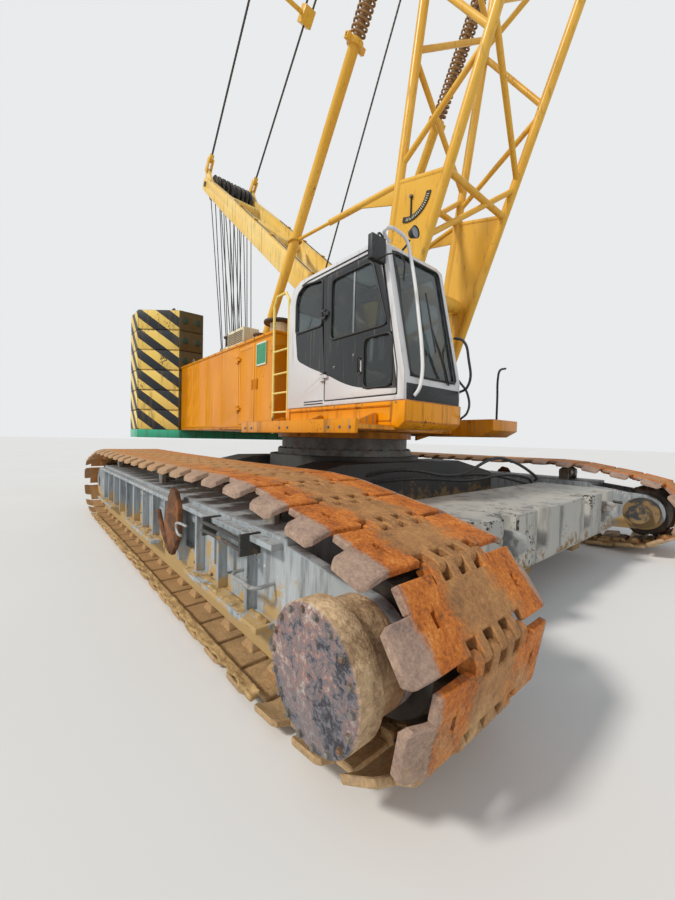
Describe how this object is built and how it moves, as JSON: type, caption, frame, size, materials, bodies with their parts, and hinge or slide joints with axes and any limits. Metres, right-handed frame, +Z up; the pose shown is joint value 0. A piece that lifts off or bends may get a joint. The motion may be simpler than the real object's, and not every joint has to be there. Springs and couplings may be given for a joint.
{
  "type": "lattice-boom crawler crane",
  "caption": "Tracked crane with a slewing upper, cab, two counterweight towers, a live mast, backstops and a lattice boom on pendants with a hook block.",
  "frame": {"origin": "on the ground under the slew axis, midway between the tracks", "axes": "+X forward, the way the boom points; +Y to the left; +Z up"},
  "size_m": [12.5999, 6.93, 19.9786],
  "materials": {
    "frame_dark": "satin",
    "weight_grey": "worn",
    "steel": "worn",
    "frame_grey": "worn",
    "track_rust": "rusty",
    "cast_dark": "rough",
    "drive_paint": "worn",
    "orange_paint": "gloss",
    "black_paint": "satin",
    "cab_paint": "gloss",
    "tinted_glass": "clear",
    "seat_vinyl": "satin",
    "black_plastic": "matte",
    "cream_paint": "satin",
    "yellow_paint": "gloss",
    "green_paint": "satin",
    "stripe_paint": "satin",
    "wire_rope": "greased"
  },
  "bodies": {
    "base": {"carbody": "frame_dark", "carbody_weights": "weight_grey", "weight_lugs": "steel", "slew_ring": "steel", "side_frame_right": "frame_grey", "side_frame_left": "frame_grey", "track_right": "track_rust", "track_left": "track_rust", "drive_tumblers": "cast_dark", "idlers": "cast_dark", "lower_rollers": "cast_dark", "upper_rollers": "cast_dark", "final_drives": "drive_paint", "drive_motors": "frame_dark"},
    "upper": {"turning_frame": "orange_paint", "house_right": "orange_paint", "house_left": "orange_paint", "engine": "cast_dark", "roof_fittings": "black_paint", "cab_base": "orange_paint", "cab_shell": "cab_paint", "cab_glass": "tinted_glass", "operator_seat": "seat_vinyl", "cab_console": "black_plastic", "walkways": "orange_paint", "ladder": "cream_paint", "backstop_seats": "orange_paint", "main_drum": "frame_dark", "auxiliary_drum": "frame_dark", "boom_hoist_drum": "frame_dark", "bridle_block": "yellow_paint", "counterweight_tray": "green_paint", "counterweight_right": "stripe_paint", "counterweight_left": "stripe_paint"},
    "cab_door": {"cab_door": "cab_paint", "door_glass": "tinted_glass"},
    "house_door_front": {"house_door_front": "orange_paint"},
    "house_door_rear": {"house_door_rear": "orange_paint"},
    "mast": {"mast": "yellow_paint", "mast_sheaves": "cast_dark"},
    "boom": {"boom_butt": "yellow_paint", "boom_insert": "yellow_paint", "boom_top": "yellow_paint", "boom_sheaves": "cast_dark", "jib_lugs": "yellow_paint", "backstops": "yellow_paint", "pendants": "wire_rope", "pendant_links": "yellow_paint", "angle_plate": "cream_paint"},
    "hook_block": {"hook_block": "yellow_paint"}
  },
  "joints": [
    {"name": "slew", "type": "hinge", "parent": "base", "child": "upper", "pos_m": [0, 0, 1.56], "axis": [0, 0, 1], "continuous": true},
    {"name": "boom_luff", "type": "hinge", "parent": "upper", "child": "boom", "pos_m": [1.35, 0, 2.1], "axis": [0, 1, 0], "range_deg": [0, 45]},
    {"name": "mast_swing", "type": "hinge", "parent": "upper", "child": "mast", "pos_m": [0.9, 0, 3.1], "axis": [0, 1, 0], "range_deg": [0, 52]},
    {"name": "hook_level", "type": "hinge", "parent": "boom", "child": "hook_block", "pos_m": [6.75995, 0, 19.58561], "axis": [0, 1, 0], "range_deg": [-45, 0]},
    {"name": "cab_door_hinge", "type": "hinge", "parent": "upper", "child": "cab_door", "pos_m": [1.557, -1.718, 2.7], "axis": [0, 0, 1], "range_deg": [-100, 0]},
    {"name": "house_door_front_hinge", "type": "hinge", "parent": "upper", "child": "house_door_front", "pos_m": [0.253, -1.618, 2.4], "axis": [0, 0, 1], "range_deg": [0, 90]},
    {"name": "house_door_rear_hinge", "type": "hinge", "parent": "upper", "child": "house_door_rear", "pos_m": [-0.853, -1.618, 2.4], "axis": [0, 0, 1], "range_deg": [-100, 0]}
  ],
  "couplings": [
    {"joint": "mast_swing", "follows": "boom_luff", "ratio": 1.1364},
    {"joint": "hook_level", "follows": "boom_luff", "ratio": -1}
  ]
}
